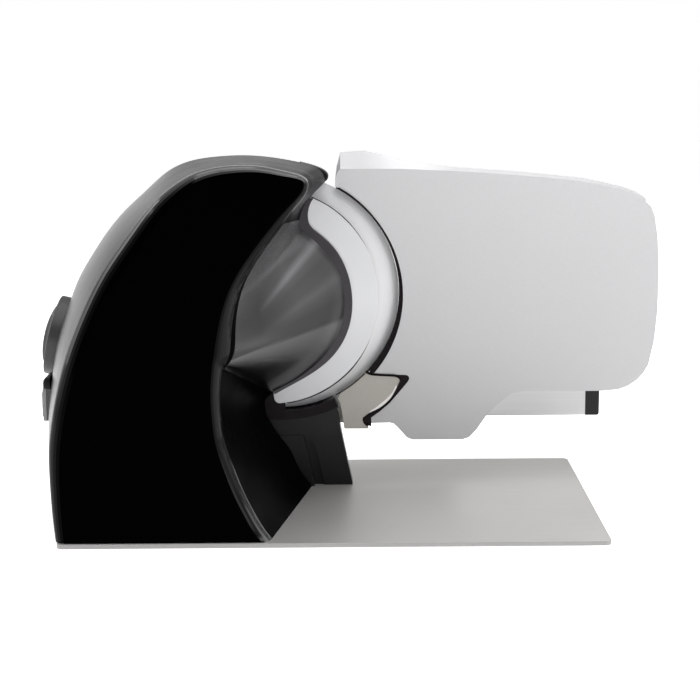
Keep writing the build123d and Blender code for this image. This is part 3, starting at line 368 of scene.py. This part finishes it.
def slab(bm, outline, lift, thick, place):
    """A thin closed plate: outline points (u, v), set lift above a surface, made thick downwards; place(u, v, h) gives its points."""
    top = [bm.verts.new(place(u, v, lift)) for u, v in outline]
    low = [bm.verts.new(place(u, v, lift - thick)) for u, v in outline]
    bm.faces.new(top)
    bm.faces.new(low[::-1])
    k = len(outline)
    for i in range(k):
        j = (i + 1) % k
        bm.faces.new((top[i], low[i], low[j], top[j]))


# the knob's plane: u to the operator's front, v up along the dial, h outwards
TILT = math.radians(13.7)
K_N = Vector((-math.cos(TILT), 0, math.sin(TILT)))
K_U = Vector((0, -1, 0))
K_V = K_N.cross(K_U)


def on_dial(u, v, h):
    return P(-225.0, 122.0, 138.6) + (K_U * u + K_V * v + K_N * h) / 1000


def polar(r, a):
    return r * math.cos(math.radians(a)), r * math.sin(math.radians(a))


# printed ticks of the thickness scale, every millimetre
bm = bmesh.new()
for k in range(15):
    a = -60 + 300 * k / 14
    c, s_ = polar(1, a)
    half = 0.22 if k % 2 else 0.32
    r0, r1 = 27.1, (28.3 if k % 2 else 28.8)
    slab(bm, [(c * r - s_ * w_, s_ * r + c * w_) for r, w_ in ((r0, -half), (r1, -half), (r1, half), (r0, half))], 0.03, 0.2, on_dial)
piece("dial_ticks", bm, "print", "frame", False)


def numeral(text, size, centre, turn, place, lift):
    """The outline of a plain numeral as a thin closed mesh, turned about its own middle."""
    cu = bpy.data.curves.new("numeral", "FONT")
    cu.body, cu.size, cu.align_x, cu.align_y = text, size, "CENTER", "CENTER"
    cu.extrude = 0.0
    tmp = bpy.data.objects.new("numeral", cu)
    SC.collection.objects.link(tmp)
    bpy.context.view_layer.update()
    me = bpy.data.meshes.new_from_object(tmp.evaluated_get(bpy.context.evaluated_depsgraph_get()))
    bpy.data.objects.remove(tmp)
    bpy.data.curves.remove(cu)
    out = bmesh.new()
    out.from_mesh(me)
    bpy.data.meshes.remove(me)
    bmesh.ops.remove_doubles(out, verts=out.verts[:], dist=1e-5)
    ext = bmesh.ops.extrude_face_region(out, geom=out.faces[:])
    up = {v for v in ext["geom"] if isinstance(v, bmesh.types.BMVert)}
    c, s_ = math.cos(math.radians(turn)), math.sin(math.radians(turn))
    for v in out.verts:
        u, w_ = v.co.x, v.co.y
        v.co = place(centre[0] + c * u - s_ * w_, centre[1] + s_ * u + c * w_, lift if v in up else lift - 0.2)
    return out


bm = bmesh.new()
for k in range(0, 15, 2):
    a = -60 + 300 * k / 14
    part = numeral(str(k), 2.5, polar(30.3, a), a - 90, on_dial, 0.03)
    me = bpy.data.meshes.new("part"); part.to_mesh(me); part.free()
    bm.from_mesh(me); bpy.data.meshes.remove(me)
piece("dial_numerals", bm, "print", "frame", False)

# the knob's pointer follows its crown
CROWN = [(0, 6.6), (9, 6.1), (17, 4.7), (23, 2.6), (26, 0.6)]


def crown(r):
    for (a, x), (b, y) in zip(CROWN, CROWN[1:]):
        if r <= b:
            return x + (y - x) * (r - a) / (b - a)
    return CROWN[-1][1]


bm = bmesh.new()
steps = [18.0 + 0.5 * i for i in range(15)]
left, right = [], []
c, s_ = polar(1, -60)
for side_, w_ in ((left, -0.55), (right, 0.55)):
    for r in steps:
        side_.append([bm.verts.new(on_dial(c * r - s_ * w_, s_ * r + c * w_, crown(r) + d)) for d in (0.06, -0.25)])
for i in range(len(steps) - 1):
    a0, a1, b0, b1 = left[i], left[i + 1], right[i], right[i + 1]
    bm.faces.new((a0[0], a1[0], b1[0], b0[0])); bm.faces.new((b0[1], b1[1], a1[1], a0[1]))
    bm.faces.new((a0[1], a1[1], a1[0], a0[0])); bm.faces.new((b0[0], b1[0], b1[1], b0[1]))
for i in (0, -1):
    bm.faces.new((left[i][0], right[i][0], right[i][1], left[i][1]))
piece("knob_pointer", bm, "print", "knob_set", False)


# marks of the two push buttons
def on_switch(y):
    def place(u, v, h):
        return P(-226.0 - h, y - u, 93.0 + v)
    return place


bm = bmesh.new()
slab(bm, [(-0.5, -4.2), (0.5, -4.2), (0.5, 4.2), (-0.5, 4.2)], 0.03, 0.2, on_switch(71.0))
piece("on_mark", bm, "print", "on_button_body", False)
bm = bmesh.new()
ring = []
place = on_switch(83.0)
for i in range(40):
    a = 360 * i / 40
    ring.append([bm.verts.new(place(*(0.78 * x if q == 0 else x for q, x in enumerate(polar(r, a))), h)) for r, h in ((4.2, 0.03), (3.2, 0.03), (3.2, -0.17), (4.2, -0.17))])
for i in range(40):
    a, b = ring[i], ring[(i + 1) % 40]
    for q in range(4):
        bm.faces.new((a[q], a[(q + 1) % 4], b[(q + 1) % 4], b[q]))
piece("off_mark", bm, "print", "off_button_body", False)


# dark lips of the edge strip: they stand in front of the blade's edge and of the bridge plate and hide the running
# gaps; they continue the dark plastic strip, and their dark over the gaps is painted shadow where the gaps lie in shade
def along(points, n):
    """Evenly spaced points on a smooth curve through the given ones (x, z), with their sideways directions."""
    pts = [Vector((x, z)) for x, z in points]
    dense = []
    for i in range(len(pts) - 1):
        p0, p1, p2, p3 = pts[max(i - 1, 0)], pts[i], pts[i + 1], pts[min(i + 2, len(pts) - 1)]
        for q in range(16):
            t = q / 16
            dense.append(0.5 * ((2 * p1) + (p2 - p0) * t + (2 * p0 - 5 * p1 + 4 * p2 - p3) * t * t + (3 * p1 - p0 - 3 * p2 + p3) * t ** 3))
    dense.append(pts[-1])
    run = [0.0]
    for a, b in zip(dense, dense[1:]):
        run.append(run[-1] + (b - a).length)
    out, k = [], 0
    for i in range(n + 1):
        d = run[-1] * i / n
        while k < len(run) - 2 and run[k + 1] < d:
            k += 1
        f = (d - run[k]) / max(run[k + 1] - run[k], 1e-9)
        out.append(dense[k].lerp(dense[k + 1], min(max(f, 0.0), 1.0)))
    res = []
    for i, c in enumerate(out):
        t = (out[min(i + 1, n)] - out[max(i - 1, 0)]).normalized()
        res.append((c, Vector((-t.y, t.x))))
    return res


def moulding(name, path, section, material, body):
    """A closed bar that follows a path in the blade's plane; section(i) gives its (sideways, y) corners."""
    bm = bmesh.new()
    loops = []
    for i, (c, side_) in enumerate(path):
        loops.append([bm.verts.new(P(c.x + side_.x * w_, y, c.y + side_.y * w_)) for w_, y in section(i / (len(path) - 1))])
    k = len(loops[0])
    for a, b in zip(loops, loops[1:]):
        for q in range(k):
            bm.faces.new((a[q], a[(q + 1) % k], b[(q + 1) % k], b[q]))
    bm.faces.new(loops[0][::-1]); bm.faces.new(loops[-1])
    o = piece(name, bm, material, body)
    o.modifiers.new("edge", "EDGE_SPLIT").split_angle = math.radians(40)
    return o


def arc(r, a0, a1, n):
    c = Vector((-43.7, 164.4))
    out = []
    for i in range(n + 1):
        a = math.radians(a0 + (a1 - a0) * i / n)
        d = Vector((math.cos(a), math.sin(a)))
        out.append((c + d * r, d))
    return out


# the blade's edge stands further back, so the lip follows it at a radius that changes with the angle
lip_path = []
for i in range(121):
    a = math.radians(-43.0 + 104.0 * i / 120)
    d = Vector((math.cos(a), math.sin(a)))
    lip_path.append((Vector((-43.7, 164.4)) + d * (97.4 + 1.5 * math.sin(a)), d))


def strip_lip(t):
    out = 1.6 - 0.7 * t
    return (0.0, 163.1), (0.0, 162.6), (0.25, 162.3), (out - 0.25, 162.3), (out, 162.6), (out, 164.0), (out - 0.5, 164.0), (out - 0.5, 163.1)


moulding("edge_strip_shadow_lip", lip_path, strip_lip, "smoke_dark", "gauge_set")
moulding("bridge_shadow_lip", arc(96.6, -62.5, -44.6, 40),
         lambda t: ((-0.3, 163.3), (-0.3, 162.8), (-0.1, 162.65), (0.45, 162.65), (0.6, 162.8), (0.6, 163.3)), "smoke_dark", "frame")
NOTCH = [(25.6, 97.9), (27.4, 97.0), (30.6, 95.6), (35.0, 95.0), (44.0, 94.5), (50.5, 94.05), (53.2, 93.0), (54.7, 91.2), (54.5, 88.9), (52.8, 85.8), (51.4, 82.4), (46.5, 74.0),
         (38.0, 66.8), (29.5, 62.5), (24.2, 58.6), (23.8, 56.4), (24.6, 54.4), (26.0, 52.8), (27.8, 51.6)]
moulding("notch_shadow_lip", along(NOTCH, 140),
         lambda t: ((-0.55, 162.8), (-0.55, 162.5), (-0.35, 162.3), (1.0, 162.3), (1.25, 162.5), (1.25, 164.0), (0.45, 164.0), (0.45, 162.8)),
         "smoke_dark", "gauge_set")

# rounded nose of the housing over the end of the blade guard
moulding("housing_nose", along([(-27.0, 272.2), (-16.5, 269.4), (-8.6, 266.2), (-4.6, 262.9), (-4.2, 259.6), (-6.0, 257.0)], 60),
         lambda t: ((-3.0, 158.4), (-1.4, 157.8), (-0.4, 158.1), (0.2, 158.9), (0.4, 160.2), (0.4, 170.6), (0.0, 171.1), (-3.0, 171.1)),
         "tip", "frame")

# small hood over the switch plate
bm = bmesh.new()
shape = [(-219.0, 105.6), (-224.5, 105.6), (-224.6, 109.6), (-224.2, 112.0), (-223.0, 113.7), (-221.2, 114.5), (-219.0, 114.7)]
loops = []
for y, d in ((64.4, 0.9), (64.8, 0.3), (65.6, 0.0), (88.4, 0.0), (89.2, 0.3), (89.6, 0.9)):
    loops.append([bm.verts.new(P(max(x, x + d) if x < -219.5 else x, y, z - (d if z > 106 else 0.0))) for x, z in shape])
for a, b in zip(loops, loops[1:]):
    for q in range(len(shape)):
        r_ = (q + 1) % len(shape)
        bm.faces.new((a[q], a[r_], b[r_], b[q]))
bm.faces.new(loops[0][::-1]); bm.faces.new(loops[-1])
piece("switch_hood", bm, "black", "frame").modifiers.new("edge", "EDGE_SPLIT").split_angle = math.radians(50)

# grey sealing frame round the switch plate
bm = bmesh.new()
frame_path = []
for cy, cz, a0 in ((65.6, 82.1, 180), (88.4, 82.1, 270), (88.4, 103.9, 0), (65.6, 103.9, 90)):
    for i in range(8):
        a = math.radians(a0 + 90 * i / 7)
        frame_path.append((cy, cz, math.cos(a), math.sin(a)))
loops = []
for cy, cz, ny, nz in frame_path:
    loops.append([bm.verts.new(P(x, cy + ny * (1.6 + w_), cz + nz * (1.6 + w_)))
                  for w_, x in ((-1.3, -224.5), (-1.3, -224.7), (-1.1, -224.9), (0.2, -224.9), (0.55, -224.6), (0.6, -224.2), (0.6, -222.2), (-0.3, -222.2), (-0.3, -224.5))])
for i, a in enumerate(loops):
    b = loops[(i + 1) % len(loops)]
    k = len(a)
    for q in range(k):
        bm.faces.new((a[q], a[(q + 1) % k], b[(q + 1) % k], b[q]))
piece("switch_frame", bm, "switch_lip", "frame").modifiers.new("edge", "EDGE_SPLIT").split_angle = math.radians(50)

# dark band behind the rim of the crescent plate, wider at its two ends: painted shadow under the plate's edge
def seal(t):
    a = -82.0 + 150.0 * t
    wide = 0.75 * min(1.0, max(0.0, (a - 22.0) / 22.0)) + 1.5 * min(1.0, max(0.0, (-18.0 - a) / 25.0))
    return (-1.2, 157.3), (wide - 0.35, 157.3), (wide - 0.1, 157.45), (wide - 0.1, 158.0), (-1.2, 158.3)


ring_path = []
for i in range(151):
    a = math.radians(-82.0 + 150.0 * i / 150)
    d = Vector((math.cos(a), math.sin(a)))
    ring_path.append((Vector((-52.3, 162.0)) + d * 89.0, d))
moulding("cover_plate_shadow_rim", ring_path, seal, "smoke_dark", "frame")

# painted highlight: a lighter band along the bridge plate's bevelled edge, where the bevel catches the light
bm = bmesh.new()
face_edge = along([(51.2, 86.6), (47.6, 79.6), (41.5, 73.4), (34.6, 67.8), (29.0, 64.2)], 40)
rim_edge = along([(52.0, 85.4), (50.6, 82.2), (45.6, 74.3), (37.4, 67.3), (29.2, 63.1)], 40)
rows = []
for (a, _), (b, _) in zip(face_edge, rim_edge):
    rows.append([bm.verts.new(P(q.x, y, q.y)) for q, y in ((a, 162.97), (b, 162.93), (b, 163.2), (a, 163.2))])
for a, b in zip(rows, rows[1:]):
    for q in range(4):
        bm.faces.new((a[q], a[(q + 1) % 4], b[(q + 1) % 4], b[q]))
bm.faces.new(rows[0][::-1]); bm.faces.new(rows[-1])
piece("bridge_edge_highlight", bm, "beige_edge_highlight", "frame", False)


# ---------------------------------------------------------------- stage
def floor():
    me = bpy.data.meshes.new("floor")
    bm = bmesh.new()
    s = 6.0
    vs = [bm.verts.new(v) for v in ((-s, -s, 0), (s, -s, 0), (s, s, 0), (-s, s, 0))]
    bm.faces.new(vs)
    bm.to_mesh(me); bm.free()
    o = bpy.data.objects.new("floor", me)
    SC.collection.objects.link(o)
    m = Mat("studio_floor").set(spec=0.2)
    m.to("Base Color", m.ramp(m.noise(3, 2), [(0.3, (0.9, 0.9, 0.9)), (0.7, (0.92, 0.92, 0.92))]))
    m.to("Roughness", m.span(m.noise(40, 2), 0.75, 0.9))
    m.b.inputs["Emission Color"].default_value = (1, 1, 1, 1)
    m.b.inputs["Emission Strength"].default_value = 0.62
    me.materials.append(m.m)


floor()


def area(name, loc, target, sx, sy, power, color=(1, 1, 1)):
    d = bpy.data.lights.new(name, "AREA")
    d.shape, d.size, d.size_y, d.energy, d.color = "RECTANGLE", sx, sy, power, color
    o = bpy.data.objects.new(name, d)
    SC.collection.objects.link(o)
    o.location = loc
    o.rotation_euler = (Vector(target) - Vector(loc)).to_track_quat("-Z", "Y").to_euler()
    return o


area("key_top", (0.1, -0.75, 1.6), (0.06, 0.0, 0.1), 2.2, 1.2, 14.5)
area("ceiling", (0.05, 0.25, 1.45), (0.05, 0.2, 0.0), 1.6, 0.9, 6.5)
area("box_left", (-1.7, 0.35, 0.75), (-0.2, -0.02, 0.2), 1.0, 1.0, 7)
area("box_right", (1.5, 0.05, 1.05), (0.0, -0.05, 0.2), 1.1, 1.3, 10)
area("strip", (0.95, -1.05, 0.55), (0.0, 0.0, 0.16), 0.1, 1.2, 2.0)

# a white studio: bright walls, a dimmer ceiling, and a darker side behind the camera
w = bpy.data.worlds.new("studio")
SC.world = w
w.use_nodes = True
wn, wl = w.node_tree.nodes, w.node_tree.links
bg = wn["Background"]
coord = wn.new("ShaderNodeTexCoord")
axes = wn.new("ShaderNodeSeparateXYZ")
wl.new(coord.outputs["Generated"], axes.inputs[0])


def world_ramp(value, stops):
    r = wn.new("ShaderNodeValToRGB")
    r.color_ramp.interpolation = "EASE"
    e = r.color_ramp.elements
    while len(e) < len(stops):
        e.new(0.5)
    for k, (p, c) in zip(e, stops):
        k.position, k.color = p, (c, c, c, 1)
    half = wn.new("ShaderNodeMapRange")
    half.inputs["From Min"].default_value, half.inputs["From Max"].default_value = -1.0, 1.0
    wl.new(value, half.inputs["Value"])
    wl.new(half.outputs["Result"], r.inputs["Fac"])
    return r.outputs["Color"]


height = world_ramp(axes.outputs["Z"], [(0.0, 0.7), (0.44, 1.8), (0.52, 1.8), (0.6, 0.82), (0.8, 0.62), (1.0, 0.7)])
depth = world_ramp(axes.outputs["Y"], [(0.0, 0.03), (0.12, 0.05), (0.4, 0.75), (0.6, 0.8), (0.9, 0.62), (1.0, 0.6)])
both = wn.new("ShaderNodeMix"); both.data_type = "RGBA"; both.blend_type = "MULTIPLY"
both.inputs[0].default_value = 1.0
wl.new(height, both.inputs[6]); wl.new(depth, both.inputs[7])
path = wn.new("ShaderNodeLightPath")
seen = wn.new("ShaderNodeMix"); seen.data_type = "RGBA"
seen.inputs[7].default_value = (1, 1, 1, 1)
wl.new(path.outputs["Is Camera Ray"], seen.inputs[0])
wl.new(both.outputs[2], seen.inputs[6])
wl.new(seen.outputs[2], bg.inputs["Color"])
bg.inputs["Strength"].default_value = 1.0

cam = bpy.data.cameras.new("camera")
cam.sensor_width = 36.0
cam.lens = 1615.4 / 700 * 36
cam.clip_start = 0.05
co = bpy.data.objects.new("camera", cam)
SC.collection.objects.link(co)
co.location = P(12.95, -1158.57, 356.09)
co.matrix_world = Matrix.Translation(co.location) @ Matrix.Rotation(math.radians(79.724), 4, "X") @ Matrix.Rotation(math.radians(-0.411), 4, "Z")
SC.camera = co
SC.view_settings.view_transform = "Standard"

bpy.context.view_layer.update()
